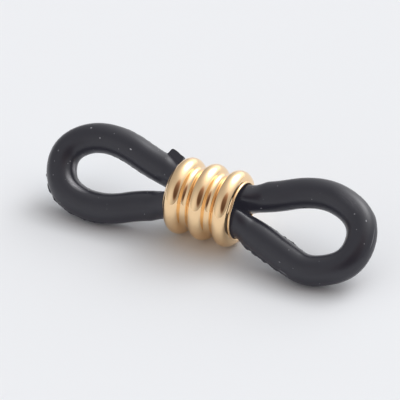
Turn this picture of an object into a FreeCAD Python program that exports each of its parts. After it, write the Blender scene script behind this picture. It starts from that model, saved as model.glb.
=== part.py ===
import FreeCAD, Part

import math
import os

import Sketcher
from FreeCAD import Placement, Rotation, Vector

# Eyeglass loop connector: one moulded rubber ring pinched into two loops by a ribbed metal slide bead.
#
# Frame: X runs along the bead's axis, Y across it, Z up. The connector lies as it is put down on a table, on
# the bead's ribs and on the lower strand of each loop, so Z = 0 is the table. The origin is under the bead's
# centre. Millimetres throughout.

SIZES = {
    # the rubber ring
    "strand_diameter": 1.96,
    "strand_spacing": 2.00,  # centre to centre of the two strands inside the bead
    "neck_half_length": 1.60,  # straight stretch of both strands, hidden in the bead
    "gate_length": 1.15,  # stub of rubber left where the mould was filled
    "gate_height": 0.45,
    "gate_thickness": 0.40,
    "gate_start": 2.55,  # distance from the bead's centre to the stub's near end
    # the slide bead
    "bead_diameter": 5.00,
    "bead_length": 4.74,
    "sleeve_diameter": 3.92,
    "bore_diameter": 3.60,
    "rib_count": 3,
    "rib_pitch": 1.68,
    "rib_width": 1.24,
    "lip_chamfer": 0.04,
    # the fit between them
    "running_gap": 0.02,
    "shoulder_gap": 0.05,
}

# Corners of each loop's centreline in its own plane, from the far strand round the tip to the near strand:
# distance from the bead's centre along its axis, then distance across it.
LOOP_CORNERS = {
    "left": [(3.10, 1.00), (8.00, 2.65), (10.85, 1.05), (10.05, -1.80), (6.95, -2.50), (3.50, -1.00)],
    "right": [
        (3.10, 1.00), (7.00, 2.85), (10.40, 1.65),
        (10.70, -1.40), (8.15, -2.80), (6.15, -2.15), (3.10, -1.00),
    ],
}
SIDE = {"left": -1, "right": 1}
TANGENT_SHARE = 0.45  # how much of the shorter run beside a corner its arc takes up

doc = FreeCAD.newDocument("loop_connector")


# ---- driving dimensions -------------------------------------------------------------------------------


def make_sheet():
    """The spreadsheet, one alias to a row: the sizes, then the corners of both loops."""
    sheet = doc.addObject("Spreadsheet::Sheet", "sizes")
    cells = dict(SIZES)
    for loop, corners in LOOP_CORNERS.items():
        for number, (along, across) in enumerate(corners, 1):
            cells[f"{loop}_corner_{number}_along"] = along
            cells[f"{loop}_corner_{number}_across"] = across
    for row, (alias, value) in enumerate(cells.items(), 1):
        sheet.set(f"A{row}", alias)
        sheet.set(f"B{row}", str(value))
        sheet.setAlias(f"B{row}", alias)
    doc.recompute()
    return sheet


sheet = make_sheet()


def size(alias):
    return float(sheet.get(alias))


# ---- rubber ring --------------------------------------------------------------------------------------


def loop_corners(loop):
    """The loop's centreline corners as vectors in the XY plane, with a straight neck end before and after."""
    side = SIDE[loop]
    neck = size("neck_half_length")
    half_spacing = size("strand_spacing") / 2
    corners = [Vector(side * neck, half_spacing, 0)]
    for number in range(1, len(LOOP_CORNERS[loop]) + 1):
        along = size(f"{loop}_corner_{number}_along")
        across = size(f"{loop}_corner_{number}_across")
        corners.append(Vector(side * along, across, 0))
    corners.append(Vector(side * neck, -half_spacing, 0))
    return corners


def corner_arc(before, corner, after):
    """Start, middle and end point of the arc that rounds a corner, and its radius."""
    back = before - corner
    ahead = after - corner
    half_turn = (math.pi - back.getAngle(ahead)) / 2
    tangent = TANGENT_SHARE * min(back.Length, ahead.Length)
    radius = tangent / math.tan(half_turn)
    back.normalize()
    ahead.normalize()
    bisector = back + ahead
    bisector.normalize()
    to_arc = radius / math.cos(half_turn) - radius
    return corner + back * tangent, corner + bisector * to_arc, corner + ahead * tangent, radius


def rounded_wire(corners):
    """Straight runs joined by tangent arcs, as one open wire."""
    edges = []
    last = corners[0]
    for before, corner, after in zip(corners, corners[1:], corners[2:]):
        start, middle, end, radius = corner_arc(before, corner, after)
        edges.append(Part.LineSegment(last, start).toShape())
        edges.append(Part.Arc(start, middle, end).toShape())
        print(f"arc radius {radius:.2f} mm")
        last = end
    edges.append(Part.LineSegment(last, corners[-1]).toShape())
    return Part.Wire(edges)


def across_circle(centre):
    """The strand's round section, across the bead's axis."""
    return Part.Wire(Part.Circle(centre, Vector(1, 0, 0), size("strand_diameter") / 2).toShape())


def resting_roll(wire):
    """Degrees a loop's plane turns about the bead's axis before its near strand lies on the table."""
    near_reach = -wire.optimalBoundingBox().YMin
    return math.degrees(math.asin((size("bead_diameter") - size("strand_diameter")) / 2 / near_reach))


def neck_ends(loop, roll):
    """Centres of the far and near strand where the loop's straight neck stretches end, once it is rolled."""
    turn = Rotation(Vector(1, 0, 0), roll)
    corners = loop_corners(loop)
    return [turn.multVec(corners[0]), turn.multVec(corners[-1])]


def gate_stub(roll):
    """The stub of rubber on the outer side of the left loop's far strand, beside the bead."""
    outer_side = size("strand_spacing") / 2 + size("strand_diameter") / 2
    length = size("gate_length")
    height = size("gate_height")
    thickness = size("gate_thickness")
    root = Vector(-size("gate_start") - length, outer_side - height, -thickness / 2)
    stub = Part.makeBox(length, 2 * height, thickness, root)
    stub.rotate(Vector(0, 0, 0), Vector(1, 0, 0), roll)
    return stub


def ring_shape():
    """The whole ring as moulded and pinched, about the bead's axis."""
    radius = size("strand_diameter") / 2
    rolls = {}
    solids = []
    for loop in LOOP_CORNERS:
        wire = rounded_wire(loop_corners(loop))
        rolls[loop] = resting_roll(wire)
        solid = wire.makePipeShell([across_circle(loop_corners(loop)[0])], True, False)
        expected = math.pi * radius**2 * wire.Length
        print(f"{loop} loop: {wire.Length:.2f} mm of strand, rolled {rolls[loop]:.1f} degrees,"
              f" volume {solid.Volume:.1f} of {expected:.1f} mm3")
        solid.rotate(Vector(0, 0, 0), Vector(1, 0, 0), rolls[loop])
        solids.append(solid)
    for left_end, right_end in zip(neck_ends("left", rolls["left"]), neck_ends("right", rolls["right"])):
        solids.append(Part.makeLoft([across_circle(left_end), across_circle(right_end)], True))
    solids.append(gate_stub(rolls["left"]))
    return solids[0].fuse(solids[1:]).removeSplitter()


def along_axis(name, radius, length):
    """A cylinder about the bead's axis, centred on the bead, its sizes bound to the sheet."""
    cylinder = doc.addObject("Part::Cylinder", name)
    cylinder.setExpression("Radius", radius)
    cylinder.setExpression("Height", length)
    cylinder.Placement = Placement(Vector(0, 0, 0), Rotation(Vector(0, 1, 0), 90))
    cylinder.setExpression("Placement.Base.x", f"-({length}) / 2")
    return cylinder


def make_rubber_ring():
    """The ring with its waist squeezed to the bead's bore."""
    moulding = doc.addObject("Part::Feature", "ring_moulding")
    moulding.Shape = ring_shape()
    squeezed = "sizes.bead_length + 2 * sizes.shoulder_gap"
    outside = along_axis("squeeze_outside", "sizes.bead_diameter / 2", squeezed)
    inside = along_axis("squeeze_inside", "sizes.bore_diameter / 2 - sizes.running_gap", squeezed)
    collar = doc.addObject("Part::Cut", "squeeze_collar")
    collar.Base = outside
    collar.Tool = inside
    ring = doc.addObject("Part::Cut", "rubber_ring")
    ring.Base = moulding
    ring.Tool = collar
    return ring


# ---- slide bead ---------------------------------------------------------------------------------------


def origin_feature(body, role):
    return next(feature for feature in body.Origin.OriginFeatures if feature.Role == role)


def new_sketch(body, name, plane):
    sketch = body.newObject("Sketcher::SketchObject", name)
    sketch.AttachmentSupport = [(origin_feature(body, plane), "")]
    sketch.MapMode = "FlatFace"
    return sketch


def bind(sketch, kind, arguments, name, expression):
    """Adds a named dimension to a sketch and ties it to the sheet."""
    index = sketch.addConstraint(Sketcher.Constraint(kind, *arguments, 1.0))
    sketch.renameConstraint(index, name)
    sketch.setExpression(f"Constraints.{name}", expression)


def sleeve_sketch(body):
    """Half section of the plain barrel, from the axis out to the groove floors."""
    half = SIZES["bead_length"] / 2
    radius = SIZES["sleeve_diameter"] / 2
    sketch = new_sketch(body, "sleeve_section", "XY_Plane")
    points = [Vector(-half, 0, 0), Vector(half, 0, 0), Vector(half, radius, 0), Vector(-half, radius, 0)]
    for start, end in zip(points, points[1:] + points[:1]):
        sketch.addGeometry(Part.LineSegment(start, end))
    for line in range(4):
        sketch.addConstraint(Sketcher.Constraint("Coincident", line, 2, (line + 1) % 4, 1))
    for line, direction in enumerate(["Horizontal", "Vertical", "Horizontal", "Vertical"]):
        sketch.addConstraint(Sketcher.Constraint(direction, line))
    sketch.addConstraint(Sketcher.Constraint("Symmetric", 0, 1, 0, 2, -1, 1))
    bind(sketch, "DistanceX", (0, 1, 0, 2), "barrel_length", "sizes.bead_length")
    bind(sketch, "DistanceY", (1, 1, 1, 2), "barrel_radius", "sizes.sleeve_diameter / 2")
    return sketch


def rib_sketch(body):
    """Round section of the first rib. It meets the groove floor with the rib's width and height."""
    sketch = new_sketch(body, "rib_section", "XY_Plane")
    height = "(sizes.bead_diameter - sizes.sleeve_diameter) / 2"
    radius = f"((sizes.rib_width / 2) ^ 2 + ({height}) ^ 2) / (sizes.bead_diameter - sizes.sleeve_diameter)"
    centre = Vector(-SIZES["rib_pitch"], SIZES["sleeve_diameter"] / 2, 0)
    sketch.addGeometry(Part.Circle(centre, Vector(0, 0, 1), SIZES["rib_width"] / 2))
    bind(sketch, "Radius", (0,), "section_radius", radius)
    bind(sketch, "DistanceX", (0, 3, -1, 1), "section_offset", "sizes.rib_pitch * (sizes.rib_count - 1) / 2")
    bind(sketch, "DistanceY", (-1, 1, 0, 3), "section_height", f"sizes.bead_diameter / 2 - {radius}")
    return sketch


def bore_sketch(body):
    sketch = new_sketch(body, "bore_section", "YZ_Plane")
    sketch.addGeometry(Part.Circle(Vector(0, 0, 0), Vector(0, 0, 1), SIZES["bore_diameter"] / 2))
    sketch.addConstraint(Sketcher.Constraint("Coincident", 0, 3, -1, 1))
    bind(sketch, "Diameter", (0,), "bore", "sizes.bore_diameter")
    return sketch


def revolve(body, sketch, name):
    """A full turn of a sketch about the bead's axis."""
    feature = body.newObject("PartDesign::Revolution", name)
    feature.Profile = sketch
    feature.ReferenceAxis = (sketch, ["H_Axis"])
    feature.Angle = 360
    doc.recompute()
    return feature


def lip_edges(shape, length, radius):
    """Names of the circular edges of that radius at the two ends of the bead."""
    names = []
    for number, edge in enumerate(shape.Edges, 1):
        circle = edge.Curve
        if not isinstance(circle, Part.Circle):
            continue
        at_end = abs(abs(circle.Center.x) - length / 2) < 1e-4
        if at_end and abs(circle.Radius - radius) < 1e-4:
            names.append(f"Edge{number}")
    return names


def make_slide_bead():
    body = doc.addObject("PartDesign::Body", "slide_bead")
    revolve(body, sleeve_sketch(body), "sleeve")
    rib = revolve(body, rib_sketch(body), "first_rib")

    ribs = body.newObject("PartDesign::LinearPattern", "ribs")
    ribs.Originals = [rib]
    ribs.Direction = (origin_feature(body, "X_Axis"), [""])
    ribs.setExpression("Length", "sizes.rib_pitch * (sizes.rib_count - 1)")
    ribs.setExpression("Occurrences", "sizes.rib_count")
    body.Tip = ribs
    doc.recompute()

    bore = body.newObject("PartDesign::Pocket", "bore")
    bore.Profile = bore_sketch(body)
    bore.Type = "ThroughAll"
    bore.Midplane = True
    doc.recompute()

    lips = body.newObject("PartDesign::Chamfer", "lip_chamfers")
    length = size("bead_length")
    edges = lip_edges(bore.Shape, length, size("bore_diameter") / 2)
    edges += lip_edges(bore.Shape, length, size("sleeve_diameter") / 2)
    lips.Base = (bore, edges)
    lips.setExpression("Size", "sizes.lip_chamfer")
    doc.recompute()
    return body


# ---- build, check and write ---------------------------------------------------------------------------


def check(sub_parts):
    """Stops on any failed object and on any sub-part that is not a valid solid."""
    for item in doc.Objects:
        if {"Invalid", "Error"} & set(item.State):
            raise RuntimeError(f"{item.Name} failed: {item.State}")
    for part in sub_parts:
        shape = part.Shape
        if shape.isNull() or not shape.isValid() or len(shape.Solids) != 1:
            raise RuntimeError(f"{part.Label} is not one valid solid")
        box = shape.optimalBoundingBox()
        print(f"{part.Label}: {shape.Volume:.2f} mm3, x {box.XMin:.3f} to {box.XMax:.3f},"
              f" y {box.YMin:.3f} to {box.YMax:.3f}, z {box.ZMin:.3f} to {box.ZMax:.3f}")


sub_parts = [make_rubber_ring(), make_slide_bead()]
for part in sub_parts:
    part.Label = part.Name
    part.setExpression("Placement.Base.z", "sizes.bead_diameter / 2")
doc.recompute()
check(sub_parts)

os.makedirs("parts", exist_ok=True)
for part in sub_parts:
    part.Shape.exportStep(f"parts/{part.Label}.step")
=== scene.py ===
"""Looks for the eyeglass loop connector: a moulded rubber ring pinched by a polished slide bead.

The ring is built as two halves that meet inside the bead.
Lengths are written in millimetres and turned into metres by MM. Colours are linear.
"""

import math

import bmesh
import bpy
import numpy as np
from mathutils import Matrix, Vector, noise


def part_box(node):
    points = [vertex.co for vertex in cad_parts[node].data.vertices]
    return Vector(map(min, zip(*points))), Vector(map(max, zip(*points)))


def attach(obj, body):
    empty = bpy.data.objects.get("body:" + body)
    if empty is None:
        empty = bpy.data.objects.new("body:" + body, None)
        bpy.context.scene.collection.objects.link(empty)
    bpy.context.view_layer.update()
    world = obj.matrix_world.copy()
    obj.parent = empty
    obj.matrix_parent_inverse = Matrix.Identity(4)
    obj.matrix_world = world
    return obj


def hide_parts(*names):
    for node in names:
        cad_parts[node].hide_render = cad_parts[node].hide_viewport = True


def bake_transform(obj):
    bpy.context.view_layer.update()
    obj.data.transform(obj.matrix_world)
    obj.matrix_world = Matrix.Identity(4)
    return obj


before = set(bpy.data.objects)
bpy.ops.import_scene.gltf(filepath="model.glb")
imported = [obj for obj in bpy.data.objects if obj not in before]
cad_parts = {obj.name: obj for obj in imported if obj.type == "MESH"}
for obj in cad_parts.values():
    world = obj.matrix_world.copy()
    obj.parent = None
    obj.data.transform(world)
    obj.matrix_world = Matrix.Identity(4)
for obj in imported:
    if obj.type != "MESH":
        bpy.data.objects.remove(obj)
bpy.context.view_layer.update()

MM = 0.001

# ---- sizes ----------------------------------------------------------------------------------------------

BEAD_LOW, BEAD_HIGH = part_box("slide_bead")
BEAD_RADIUS = (BEAD_HIGH.z - BEAD_LOW.z) / 2 / MM
BEAD_HALF_LENGTH = (BEAD_HIGH.x - BEAD_LOW.x) / 2 / MM
AXIS_HEIGHT = (BEAD_HIGH.z + BEAD_LOW.z) / 2 / MM
SLEEVE_RADIUS = 1.96
BORE_RADIUS = 1.80
RIB_PITCH = 1.68
RIB_RADIUS = 0.60
GROOVE_FLOOR = 1.96  # radius at the bottom of a groove
RIB_OFFSETS = (-RIB_PITCH, 0.0, RIB_PITCH)

STRAND_RADIUS = 0.98
STRAND_SPACING = 2.00
NECK_HALF_LENGTH = 1.60
# The corners that each loop's centreline rounds, from the far strand to the near one: distance from the
# bead's middle along its axis, and distance across it in the loop's own plane.
LOOP_CORNERS = {
    "left": [(3.10, 1.00), (8.00, 2.65), (10.85, 1.05), (10.05, -1.80), (6.95, -2.50), (3.50, -1.00)],
    "right": [
        (3.10, 1.00), (7.00, 2.85), (10.40, 1.65), (10.70, -1.40), (8.15, -2.80), (6.15, -2.15),
        (3.10, -1.00),
    ],
}
SIDE = {"left": -1, "right": 1}

# ---- camera, floor and light ----------------------------------------------------------------------------

CAMERA_AIM = Vector((-0.96, 0.62, 2.00)) * MM
CAMERA_DISTANCE = 291 * MM
CAMERA_AZIMUTH = math.radians(26.7)
CAMERA_ELEVATION = math.radians(33.9)
CAMERA_ROLL = math.radians(-0.29)
CAMERA_LENS = 410.4


def direction(azimuth, elevation):
    """Unit vector from the object towards a place at that azimuth and elevation. Azimuth 0 is towards -Y."""
    level = math.cos(elevation)
    return Vector((math.sin(azimuth) * level, -math.cos(azimuth) * level, math.sin(elevation)))


def linked_object(name, data):
    made = bpy.data.objects.new(name, data)
    bpy.context.scene.collection.objects.link(made)
    return made


def make_camera():
    data = bpy.data.cameras.new("camera")
    data.lens = CAMERA_LENS
    data.clip_start = 10 * MM
    data.clip_end = 10
    camera = linked_object("camera", data)
    back = direction(CAMERA_AZIMUTH, CAMERA_ELEVATION)
    right = Vector((math.cos(CAMERA_AZIMUTH), math.sin(CAMERA_AZIMUTH), 0))
    up = back.cross(right)
    turned = Matrix((right, up, back)).transposed().to_4x4() @ Matrix.Rotation(CAMERA_ROLL, 4, "Z")
    camera.matrix_world = Matrix.Translation(CAMERA_AIM + back * CAMERA_DISTANCE) @ turned
    bpy.context.scene.camera = camera


FLOOR_HALF_SIZE = 1500 * MM
FLOOR_COLOUR = (0.82, 0.841, 0.855)
FLOOR_ROUGHNESS = 0.8
FLOOR_GLOSS = 0.1


def make_floor():
    mesh = bpy.data.meshes.new("floor")
    corners = [(FLOOR_HALF_SIZE * x, FLOOR_HALF_SIZE * y, 0) for x, y in ((-1, -1), (1, -1), (1, 1), (-1, 1))]
    mesh.from_pydata(corners, [], [(0, 1, 2, 3)])
    floor = linked_object("floor", mesh)
    material = bpy.data.materials.new("floor_paper")
    material.use_nodes = True
    shader = material.node_tree.nodes["Principled BSDF"]
    shader.inputs["Base Color"].default_value = (*FLOOR_COLOUR, 1)
    shader.inputs["Roughness"].default_value = FLOOR_ROUGHNESS
    shader.inputs["Specular IOR Level"].default_value = FLOOR_GLOSS
    mesh.materials.append(material)


# The studio: an even grey room, a softbox with a hot middle and a weak low light behind the object, a pale
# wall in front of it on the left, and an unlit brown corner in front of it on the right. Each glow is its
# (azimuth, elevation) in degrees, how tight it is, and how bright its middle is. The corner is at its darkest
# within the inner angle and has faded out at the outer one, both in degrees from its middle.
ROOM_LIGHT = 0.40
STUDIO_TINT = (1.0, 1.0, 1.02)
SOFTBOX_MIDDLE = ((162, 41), 28.0, 5.4)
SOFTBOX = ((150, 50), 5.0, 1.45)
LOW_LIGHT = ((180, 6), 12.0, 0.8)
PALE_WALL = ((-25, 12), 4.0, 0.46)
UNLIT_CORNER = (42, 38)
UNLIT_INNER = 18
UNLIT_OUTER = 35
UNLIT_FACTOR = 0.16
UNLIT_TINT = (1.25, 0.80, 0.62)


def make_world():
    world = bpy.data.worlds.new("studio")
    world.use_nodes = True
    tree = world.node_tree
    background = tree.nodes["Background"]
    look = tree.nodes.new("ShaderNodeTexCoord").outputs["Generated"]

    def math_node(operation, a, b=None):
        node = tree.nodes.new("ShaderNodeMath")
        node.operation = operation
        for slot, value in zip(node.inputs, (a, b)):
            if isinstance(value, (int, float)):
                slot.default_value = value
            elif value is not None:
                tree.links.new(value, slot)
        return node.outputs[0]

    def towards(place):
        """Cosine of the angle between the way looked and that place."""
        node = tree.nodes.new("ShaderNodeVectorMath")
        node.operation = "DOT_PRODUCT"
        tree.links.new(look, node.inputs[0])
        node.inputs[1].default_value = direction(*(math.radians(angle) for angle in place))
        return node.outputs["Value"]

    def glow(place, tightness, strength):
        """Soft round patch of light: strength in its middle, fading out around it."""
        fall = math_node("MULTIPLY", math_node("SUBTRACT", towards(place), 1.0), tightness)
        return math_node("MULTIPLY", math_node("EXPONENT", fall), strength)

    shade = tree.nodes.new("ShaderNodeMapRange")
    shade.interpolation_type = "SMOOTHSTEP"
    tree.links.new(towards(UNLIT_CORNER), shade.inputs["Value"])
    shade.inputs["From Min"].default_value = math.cos(math.radians(UNLIT_OUTER))
    shade.inputs["From Max"].default_value = math.cos(math.radians(UNLIT_INNER))
    shade.inputs["To Min"].default_value = 1.0
    shade.inputs["To Max"].default_value = UNLIT_FACTOR
    room = math_node("MULTIPLY", math_node("ADD", glow(*PALE_WALL), ROOM_LIGHT), shade.outputs["Result"])
    softbox = math_node("ADD", glow(*SOFTBOX), glow(*SOFTBOX_MIDDLE))
    lights = math_node("ADD", softbox, glow(*LOW_LIGHT))
    tree.links.new(math_node("ADD", room, lights), background.inputs["Strength"])

    unlit = tree.nodes.new("ShaderNodeMapRange")
    tree.links.new(shade.outputs["Result"], unlit.inputs["Value"])
    unlit.inputs["From Min"].default_value = 1.0
    unlit.inputs["From Max"].default_value = UNLIT_FACTOR
    tint = tree.nodes.new("ShaderNodeMix")
    tint.data_type = "RGBA"
    tree.links.new(unlit.outputs["Result"], tint.inputs["Factor"])
    tint.inputs["A"].default_value = (*STUDIO_TINT, 1)
    tint.inputs["B"].default_value = (*UNLIT_TINT, 1)
    tree.links.new(tint.outputs["Result"], background.inputs["Color"])
    bpy.context.scene.world = world
    bpy.context.scene.view_settings.view_transform = "Standard"


# ---- node helpers ---------------------------------------------------------------------------------------


def new_material(name):
    """A new node material, its shader, a function that adds a node with its settings, values and links, and
    one that links an output to an input."""
    material = bpy.data.materials.new(name)
    material.use_nodes = True
    tree = material.node_tree
    shader = tree.nodes["Principled BSDF"]

    def add(kind, values=None, links=None, **settings):
        node = tree.nodes.new(kind)
        for key, value in settings.items():
            setattr(node, key, value)
        for key, value in (values or {}).items():
            node.inputs[key].default_value = value
        for key, socket in (links or {}).items():
            tree.links.new(socket, node.inputs[key])
        return node

    return material, shader, add, tree.links.new


# ---- rubber ---------------------------------------------------------------------------------------------

RUBBER_DARK = (0.0040, 0.0038, 0.0062)
RUBBER_LIGHT = (0.0075, 0.0072, 0.0105)
RUBBER_ROUGHNESS = (0.26, 0.36)
PAINTED_GLOW_COLOUR = (0.74, 0.73, 1.0)  # painted glow: a faint even light given off by the rubber itself, which keeps the blacks from going quite black
PAINTED_GLOW_STRENGTH = 0.018
PALE_COLOUR = (0.72, 0.72, 0.75)
CLOUDS_PER_METRE = 700
GRAINS_PER_METRE = 9000
GRAIN_DEPTH = 0.01 * MM
SPECKS_PER_MM = 1.3
SPECK_STRENGTH = 0.30
STREAK_STRENGTH = 0.06

# Whitish marks on the rubber, by its texture coordinates in millimetres: travel along the strand, place round
# it, half length, half width and how strongly each shows. The left half's travel starts at 0 and the right
# half's at 40. Grains of dust come first, then a thin whitish line at the right loop's tip, a scratch, and a
# flake of flash.
MARKS = [
    (9.1, 1.1, 0.06, 0.05, 0.45),
    (8.4, 1.8, 0.06, 0.05, 0.45),
    (6.0, 1.7, 0.09, 0.04, 0.75),
    (11.5, 1.4, 0.06, 0.05, 0.22),
    (12.0, 2.4, 0.06, 0.05, 0.28),
    (15.6, 2.5, 0.07, 0.05, 0.24),
    (14.4, 0.5, 0.06, 0.05, 0.18),
    (51.0, 1.0, 0.06, 0.05, 0.38),
    (50.4, 1.6, 0.06, 0.05, 0.32),
    (43.4, 2.7, 0.07, 0.04, 0.50),
    (57.7, 0.9, 0.07, 0.04, 0.24),
    (51.8, 0.4, 0.55, 0.03, 0.22),
    (51.8, 2.4, 0.40, 0.03, 0.10),
    (57.3, 0.3, 0.35, 0.05, 0.28),
]

# Soft whitish smears, written the same way, are painted sheen: painted highlights that these lights don't
# give.
# Three sit inside the left loop's tip, one on the right loop's far side, and one beside the gate stub.
PAINTED_SHEENS = [
    (14.3, 2.2, 1.50, 0.24, 0.55),
    (12.6, 2.8, 0.85, 0.24, 0.50),
    (10.5, 3.0, 0.80, 0.20, 0.12),
    (49.4, 1.3, 1.30, 0.40, 0.07),
    (5.3, 0.8, 1.20, 0.30, 0.05),
]


def rubber_material():
    material, shader, add, link = new_material("moulded_rubber")
    shader.inputs["Specular IOR Level"].default_value = 0.5
    # painted glow: the rubber gives off a faint even light of its own
    shader.inputs["Emission Color"].default_value = (*PAINTED_GLOW_COLOUR, 1)
    shader.inputs["Emission Strength"].default_value = PAINTED_GLOW_STRENGTH
    place = add("ShaderNodeTexCoord").outputs["Object"]
    strand = add("ShaderNodeUVMap", uv_map="strand").outputs["UV"]

    def fade(value, start, end, low, high):
        """Smooth change from low to high as the value goes from start to end."""
        limits = {"From Min": start, "From Max": end, "To Min": low, "To Max": high}
        node = add("ShaderNodeMapRange", limits, {"Value": value}, interpolation_type="SMOOTHSTEP")
        return node.outputs["Result"]

    def combine(operation, a, b):
        node = add("ShaderNodeMath", operation=operation)
        link(a, node.inputs[0])
        link(b, node.inputs[1])
        return node.outputs[0]

    mottle = {"Scale": CLOUDS_PER_METRE, "Detail": 4}
    cloud = add("ShaderNodeTexNoise", mottle, {"Vector": place}).outputs["Fac"]
    tone = add("ShaderNodeValToRGB", links={"Fac": cloud})
    tone.color_ramp.elements[0].position = 0.3
    tone.color_ramp.elements[0].color = (*RUBBER_DARK, 1)
    tone.color_ramp.elements[1].position = 0.75
    tone.color_ramp.elements[1].color = (*RUBBER_LIGHT, 1)

    # fine dust: a speck in the middle of some cells
    cells = add("ShaderNodeTexVoronoi", {"Scale": SPECKS_PER_MM}, {"Vector": strand}, voronoi_dimensions="2D")
    speck = fade(cells.outputs["Distance"], 0.025, 0.055, 1.0, 0.0)
    lot = add("ShaderNodeSeparateColor", links={"Color": cells.outputs["Color"]}).outputs[0]
    dust_and_sheen = combine("MULTIPLY", speck, fade(lot, 0.55, 1.0, 0.0, SPECK_STRENGTH))

    # rubbed, dusty streaks along the strand
    stretched = add("ShaderNodeMapping", {"Scale": (1.0, 6.0, 1.0)}, {"Vector": strand})
    ragged = {"Scale": 2.2, "Detail": 6, "Roughness": 0.7}
    streaks = add("ShaderNodeTexNoise", ragged, {"Vector": stretched.outputs[0]}).outputs["Fac"]
    dust_and_sheen = combine("MAXIMUM", dust_and_sheen, fade(streaks, 0.60, 0.85, 0.0, STREAK_STRENGTH))

    def spot(travel, girth, half_length, half_width, strength, core):
        """Pale ellipse on the strand, at full strength in its core and gone a fifth beyond its edge."""
        laid = {"Location": (travel, girth, 0), "Scale": (half_length, half_width, 1)}
        mapped = add("ShaderNodeMapping", laid, {"Vector": strand}, vector_type="TEXTURE")
        off = add("ShaderNodeVectorMath", links={0: mapped.outputs[0]}, operation="LENGTH").outputs["Value"]
        return fade(off, core, 1.2, strength, 0.0)

    for mark in MARKS:
        dust_and_sheen = combine("MAXIMUM", dust_and_sheen, spot(*mark, 0.5))
    # the painted sheen is broken up along the same streaks; the mix below lays dust and painted sheen alike
    patchy = fade(streaks, 0.35, 0.6, 0.45, 1.0)
    for painted_sheen in PAINTED_SHEENS:
        dust_and_sheen = combine("MAXIMUM", dust_and_sheen, combine("MULTIPLY", spot(*painted_sheen, 0.0), patchy))

    colour = add("ShaderNodeMix", data_type="RGBA", links={"Factor": dust_and_sheen})
    link(tone.outputs["Color"], colour.inputs["A"])
    colour.inputs["B"].default_value = (*PALE_COLOUR, 1)
    link(colour.outputs["Result"], shader.inputs["Base Color"])

    low, high = RUBBER_ROUGHNESS
    polish = add("ShaderNodeMapRange", {"To Min": low, "To Max": high}, {"Value": cloud})
    link(polish.outputs["Result"], shader.inputs["Roughness"])

    fine = {"Scale": GRAINS_PER_METRE, "Detail": 3, "Roughness": 0.6}
    grain = add("ShaderNodeTexNoise", fine, {"Vector": place})
    bump = add("ShaderNodeBump", {"Strength": 0.3, "Distance": GRAIN_DEPTH}, {"Height": grain.outputs["Fac"]})
    link(bump.outputs["Normal"], shader.inputs["Normal"])
    return material


RING_STEP = 0.08  # between the rings of points along a strand
CURVE_POINTS = 200  # worked out along each corner before the even spacing


def parabola(start, control, end, count):
    """Points along the parabola that leaves start and reaches end, drawn towards the control point."""
    t = np.linspace(0, 1, count)[:, None]
    return (1 - t) ** 2 * start + 2 * t * (1 - t) * control + t**2 * end


def loop_centreline(loop):
    """Evenly spaced centreline points of a half ring in its own plane, from the middle of the far strand
    round the tip to the middle of the near strand: distance along the bead's axis and distance across it.
    Also gives how far along the centreline each one is."""
    side = SIDE[loop]
    corners = [np.array((side * along, across)) for along, across in LOOP_CORNERS[loop]]
    far_neck = np.array((side * NECK_HALF_LENGTH, STRAND_SPACING / 2))
    near_neck = far_neck * (1, -1)
    joins = [far_neck] + [(a + b) / 2 for a, b in zip(corners, corners[1:])] + [near_neck]
    curves = [parabola(a, corner, b, CURVE_POINTS) for a, corner, b in zip(joins, corners, joins[1:])]
    line = np.vstack([[(0, STRAND_SPACING / 2)], *curves, [(0, -STRAND_SPACING / 2)]])
    travel = np.concatenate([[0], np.cumsum(np.hypot(*np.diff(line, axis=0).T))])
    kept = np.concatenate([[True], np.diff(travel) > 1e-9])
    even = np.linspace(0, travel[-1], round(travel[-1] / RING_STEP) + 1)
    return np.column_stack([np.interp(even, travel[kept], line[kept, axis]) for axis in (0, 1)]), even


def smooth_step(value):
    value = np.clip(value, 0, 1)
    return value * value * (3 - 2 * value)


def resting_roll(line):
    """Angle by which a loop's plane leans, with its near strand on the table."""
    return math.asin((BEAD_RADIUS - STRAND_RADIUS) / -line[:, 1].min())


ROLLS = {loop: resting_roll(loop_centreline(loop)[0]) for loop in LOOP_CORNERS}

# Degrees round a quarter of the strand, closer together where the parting line and the gate stand out.
QUARTER_ANGLES = [0, 1.3, 3.6, 7, 11, 13.5, 20, 28, 36, 45, 54, 63, 72, 81]
FIN_HALF_ANGLE = 2
GATE_HALF_ANGLE = 12


def section_angles():
    """Angles round the whole strand. 0 faces out of the loop and 180 degrees into it."""
    half = QUARTER_ANGLES + [90] + [180 - angle for angle in reversed(QUARTER_ANGLES)]
    return np.radians(half + [360 - angle for angle in reversed(half[1:-1])])


# Parting-line flash: where it stands out along a half ring (0 at the far strand's middle, 1 at the near
# one's), how far it runs to either side as a share of the half ring, and its height.
FLASH = {
    ("left", "outer"): [(0.56, 0.10, 0.13), (0.68, 0.06, 0.07), (0.30, 0.08, 0.02)],
    ("left", "inner"): [(0.25, 0.10, 0.03), (0.75, 0.10, 0.02)],
    ("right", "outer"): [(0.80, 0.12, 0.12), (0.45, 0.05, 0.02)],
    ("right", "inner"): [(0.77, 0.08, 0.07), (0.25, 0.10, 0.02)],
}
FLASH_FLOOR = 0.012
TEARS_PER_MM = 1.9
FLASH_CLEAR = {"outer": (2.7, 0.5), "inner": (3.4, 1.0)}  # how far out flash starts, and how soon it is full
WOBBLE = 0.010  # how uneven the moulding is
UV_SHIFT = {"left": 0.0, "right": 40.0}  # keeps the two halves apart in their texture coordinates

# The stub of the mould's gate, on the left loop's far strand. Its height is a share of GATE_HEIGHT, from the
# end near the bead to the other end.
GATE_START = 2.55
GATE_LENGTH = 1.15
GATE_HEIGHT = 0.45
GATE_NEAR_SHARE = 1.30
GATE_DROP = 0.38
GATE_EDGE = 0.12  # how far its end faces slope
GATE_ROUGHNESS = 0.03

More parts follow.
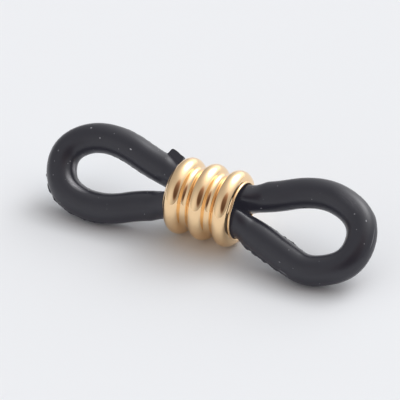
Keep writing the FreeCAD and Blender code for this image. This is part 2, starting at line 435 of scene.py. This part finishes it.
# How the strands sit in the bead's bore and swell as they come out of it.
PACKING = 0.5  # how far they fill the bore, from 0, round, to 1, all of it
PACKING_REACH = 1.3  # how far outside the bead they take to be round again
PACKING_SPREAD = 0.7  # how soon the packing sets in, going round from the side that faces away from the axis
FLARE = 1.15  # how far outside the bead they take to reach their full width
BORE_CLEARANCE = 0.03
STRANDS_TOUCH_TO = 3.2  # how far out the two strands lie side by side
HALF_GAP = 0.004  # half the gap between them there
D_MIDDLE = 0.88  # from the bead's axis to the middle of the rounded D that is half the bore
D_SQUARENESS = 6  # how sharp the D's two corners are


def flash_height(loop, edge, share, travel):
    """Ragged height of the thin fin along one parting line."""
    height = np.full(len(share), FLASH_FLOOR)
    for centre, reach, peak in FLASH[loop, edge]:
        height += peak * smooth_step(1 - np.abs(share - centre) / reach)
    seed = 11.3 * (loop == "left") + 5.7 * (edge == "outer")
    ragged = [noise.fractal(Vector((value * TEARS_PER_MM, seed, 0)), 0.6, 2.1, 4) for value in travel]
    return height * np.clip(0.55 + 0.9 * np.array(ragged), 0.1, 1.3)


def half_ring(loop, material):
    """One half of the rubber ring as a closed mesh."""
    line, travel = loop_centreline(loop)
    share = travel / travel[-1]
    side = SIDE[loop]
    tangent = np.gradient(line, axis=0)
    tangent /= np.hypot(*tangent.T)[:, None]
    outward = np.column_stack([-tangent[:, 1], tangent[:, 0]]) * side
    angles = section_angles()
    from_outer = np.abs((angles + math.pi) % (2 * math.pi) - math.pi)
    fins = {}
    for edge, (start, rise) in FLASH_CLEAR.items():
        clear = smooth_step((np.abs(line[:, 0]) - start) / rise)
        fins[edge] = flash_height(loop, edge, share, travel) * clear
    gate = np.zeros(len(line))
    if loop == "left":
        far = line[:, 1] > 0
        foot = np.abs(line[:, 0] + outward[:, 0] * (STRAND_RADIUS + GATE_HEIGHT / 2)) - GATE_START
        gate = far * smooth_step(foot / GATE_EDGE) * smooth_step((GATE_LENGTH - foot) / GATE_EDGE)

    points = []
    for i in range(len(line)):
        for j, angle in enumerate(angles):
            uneven = noise.noise(Vector((travel[i] * 0.7, math.cos(angle), math.sin(angle) + 7 * side)))
            radius = STRAND_RADIUS + WOBBLE * uneven
            out = radius * math.cos(angle)
            high = radius * math.sin(angle)
            degrees = math.degrees(from_outer[j])
            stands_out = 0
            if degrees < FIN_HALF_ANGLE:
                stands_out = fins["outer"][i]
            if degrees > 180 - FIN_HALF_ANGLE:
                stands_out = -fins["inner"][i]
            if degrees < GATE_HALF_ANGLE and gate[i] > 0:
                ragged = noise.noise(Vector((travel[i] * 6, angle * 9, 3)))
                height = GATE_HEIGHT * (GATE_NEAR_SHARE - GATE_DROP * (foot[i] / GATE_LENGTH))
                stands_out = gate[i] * (height + GATE_ROUGHNESS * ragged)
            x = line[i, 0] + outward[i, 0] * out
            across = line[i, 1] + outward[i, 1] * out
            x, across, high = squeeze(x, across, high, line[i, 1])
            x += outward[i, 0] * stands_out
            across += outward[i, 1] * stands_out
            points.append(placed(x, across, high, ROLLS[loop], line[i, 0]))
    around = np.append(angles, 2 * math.pi)
    return tube_object(f"rubber_loop_{loop}", points, around, travel, UV_SHIFT[loop], material)


def squeeze(x, across, high, strand_side):
    """Presses a point of the strand into its half of the bead's bore, and lets go of it outside the bead."""
    sign = 1 if strand_side > 0 else -1
    outside = abs(x) - BEAD_HALF_LENGTH
    packed = PACKING * (1 - smooth_step(outside / PACKING_REACH))
    if packed > 0:
        middle = STRAND_SPACING / 2
        angle = math.atan2(high, sign * across - middle)
        target = half_bore(angle)
        packed *= smooth_step((1 - math.cos(angle)) / PACKING_SPREAD)
        across += sign * packed * (target[0] - middle - STRAND_RADIUS * math.cos(angle))
        high += packed * (target[1] - STRAND_RADIUS * math.sin(angle))
    reach = math.hypot(across, high)
    limit = BORE_RADIUS - BORE_CLEARANCE
    if reach > limit:
        free = smooth_step((outside - BORE_CLEARANCE) / FLARE)
        held = (limit + (reach - limit) * free) / reach
        across *= held
        high *= held
    if abs(x) < STRANDS_TOUCH_TO:
        across = sign * max(sign * across, HALF_GAP)
    return x, across, high


def half_bore(angle):
    """Point on a rounded D that fills one half of the bore, in that direction from the D's middle."""
    radius = BORE_RADIUS - BORE_CLEARANCE
    to_bore = -D_MIDDLE * math.cos(angle) + math.sqrt(radius**2 - (D_MIDDLE * math.sin(angle)) ** 2)
    to_wall = D_MIDDLE / max(-math.cos(angle), 1e-6)
    reach = (to_bore**-D_SQUARENESS + to_wall**-D_SQUARENESS) ** (-1 / D_SQUARENESS)
    return D_MIDDLE + reach * math.cos(angle), reach * math.sin(angle)


def placed(x, across, high, roll, centre_x):
    """A point given along the axis, across in the loop's plane and square to that plane, in the row frame.
    The two loops' planes turn into each other inside the bead."""
    other = ROLLS["right" if centre_x < 0 else "left"]
    middle = (roll + other) / 2
    turn = middle + (roll - middle) * smooth_step(abs(centre_x) / NECK_HALF_LENGTH)
    y = across * math.cos(turn) - high * math.sin(turn)
    z = AXIS_HEIGHT + across * math.sin(turn) + high * math.cos(turn)
    return Vector((x, y, max(z, 0))) * MM


RUBBER_CREASE = 50  # degrees between faces that shade as an edge
GOLD_CREASE = 40


def tube_object(name, points, around, travel, shift, material):
    """A closed tube from rings of points, with its length and girth in millimetres as texture coordinates.
    around is the angle of each point in a ring, then the first again a turn later, and travel is how far
    along the strand each ring is."""
    count = len(around) - 1
    rings = len(travel)
    faces = []
    for i in range(rings - 1):
        for j in range(count):
            k = (j + 1) % count
            faces.append((i * count + j, (i + 1) * count + j, (i + 1) * count + k, i * count + k))
    faces.append(tuple(range(count)))
    faces.append(tuple((rings - 1) * count + j for j in reversed(range(count))))
    mesh = bpy.data.meshes.new(name)
    mesh.from_pydata(points, [], faces)
    layer = mesh.uv_layers.new(name="strand")
    girth = 2 * math.pi * STRAND_RADIUS
    for polygon in mesh.polygons:
        ends = polygon.loop_total != 4
        wraps = not ends and {v % count for v in polygon.vertices} == {0, count - 1}
        for index in polygon.loop_indices:
            vertex = mesh.loops[index].vertex_index
            row, column = divmod(vertex, count)
            if wraps and column == 0:
                column = count
            layer.data[index].uv = (travel[row] + shift, girth * around[column] / (2 * math.pi))
    mesh.materials.append(material)
    finish_mesh(mesh, RUBBER_CREASE)
    return linked_object(name, mesh)


def finish_mesh(mesh, sharp_degrees):
    """Points all faces outward and shades smooth, with a hard edge where faces meet more sharply than
    that."""
    work = bmesh.new()
    work.from_mesh(mesh)
    bmesh.ops.recalc_face_normals(work, faces=work.faces)
    for face in work.faces:
        face.smooth = True
    for edge in work.edges:
        edge.smooth = edge.calc_face_angle(0) < math.radians(sharp_degrees)
    work.to_mesh(mesh)
    work.free()


# ---- slide bead -----------------------------------------------------------------------------------------

GOLD_DARK = (0.96, 0.675, 0.385)
GOLD_LIGHT = (0.98, 0.705, 0.415)
GOLD_ROUGHNESS = (0.05, 0.09)
GOLD_CLOUDS_PER_METRE = 500
BEAD_STEPS = 192  # round the bore
RIB_POINTS = 40
GROOVE_POINTS = 24
LIP_POINTS = 7  # a quarter of a lip's rounding


def gold_material():
    material, shader, add, link = new_material("polished_gold")
    shader.inputs["Metallic"].default_value = 1
    place = add("ShaderNodeTexCoord").outputs["Object"]
    mottle = {"Scale": GOLD_CLOUDS_PER_METRE, "Detail": 3}
    cloud = add("ShaderNodeTexNoise", mottle, {"Vector": place}).outputs["Fac"]
    tone = add("ShaderNodeValToRGB", links={"Fac": cloud})
    tone.color_ramp.elements[0].color = (*GOLD_DARK, 1)
    tone.color_ramp.elements[1].color = (*GOLD_LIGHT, 1)
    link(tone.outputs["Color"], shader.inputs["Base Color"])
    low, high = GOLD_ROUGHNESS
    rough = add("ShaderNodeMapRange", {"To Min": low, "To Max": high}, {"Value": cloud})
    link(rough.outputs["Result"], shader.inputs["Roughness"])
    return material


def arc(centre, radius, start, end, count):
    """Points of an arc in the (axis, radius) half plane. Angles in degrees, 90 outward."""
    return [
        (centre[0] + radius * math.cos(math.radians(a)), centre[1] + radius * math.sin(math.radians(a)))
        for a in np.linspace(start, end, count)
    ]


def bead_profile():
    """Closed half section of the bead, walked along the outside and back through the bore. Round ribs run
    into round grooves without a corner, and the outer flanks run down to thin rounded lips."""
    half = BEAD_HALF_LENGTH
    rib_centre = BEAD_RADIUS - RIB_RADIUS
    to_groove = RIB_PITCH / 2
    drop = GROOVE_FLOOR - rib_centre
    groove_radius = (to_groove**2 + drop**2 - RIB_RADIUS**2) / (2 * (RIB_RADIUS - drop))
    groove_centre = GROOVE_FLOOR + groove_radius
    join = math.degrees(math.atan2(groove_centre - rib_centre, to_groove))
    lip_radius = (SLEEVE_RADIUS - BORE_RADIUS) / 2
    lip_centre = (SLEEVE_RADIUS + BORE_RADIUS) / 2
    foot = math.degrees(math.asin((SLEEVE_RADIUS - rib_centre) / RIB_RADIUS))
    outside = arc((-half + lip_radius, lip_centre), lip_radius, 180, 90, LIP_POINTS)
    for number, offset in enumerate(RIB_OFFSETS):
        start = 180 - (foot if number == 0 else join)
        end = foot if number == len(RIB_OFFSETS) - 1 else join
        outside += arc((offset, rib_centre), RIB_RADIUS, start, end, RIB_POINTS)
        if number < len(RIB_OFFSETS) - 1:
            centre = (offset + to_groove, groove_centre)
            outside += arc(centre, groove_radius, 180 + join, 360 - join, GROOVE_POINTS)[1:-1]
    outside += arc((half - lip_radius, lip_centre), lip_radius, 90, 0, LIP_POINTS)
    inside = arc((half - lip_radius, lip_centre), lip_radius, 0, -90, LIP_POINTS)[1:]
    inside += [(half * share, BORE_RADIUS) for share in (0.6, 0.2, -0.2, -0.6)]
    inside += arc((-half + lip_radius, lip_centre), lip_radius, -90, -180, LIP_POINTS)[:-1]
    return outside + inside


def make_bead(material):
    profile = bead_profile()
    count = len(profile)
    points = []
    for i in range(BEAD_STEPS):
        turn = 2 * math.pi * i / BEAD_STEPS
        for x, radius in profile:
            points.append(Vector((x, radius * math.cos(turn), AXIS_HEIGHT + radius * math.sin(turn))) * MM)
    faces = []
    for i in range(BEAD_STEPS):
        for j in range(count):
            k = (j + 1) % count
            n = (i + 1) % BEAD_STEPS
            faces.append((i * count + j, i * count + k, n * count + k, n * count + j))
    mesh = bpy.data.meshes.new("ribbed_bead")
    mesh.from_pydata(points, [], faces)
    mesh.materials.append(material)
    finish_mesh(mesh, GOLD_CREASE)
    return linked_object("ribbed_bead", mesh)


# ---- build ----------------------------------------------------------------------------------------------

make_camera()
make_world()
make_floor()

rubber = rubber_material()
for loop, side in SIDE.items():
    piece = half_ring(loop, rubber)
    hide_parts("rubber_ring")
    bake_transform(piece)

bead = make_bead(gold_material())
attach(bead, "bead")
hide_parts("slide_bead")
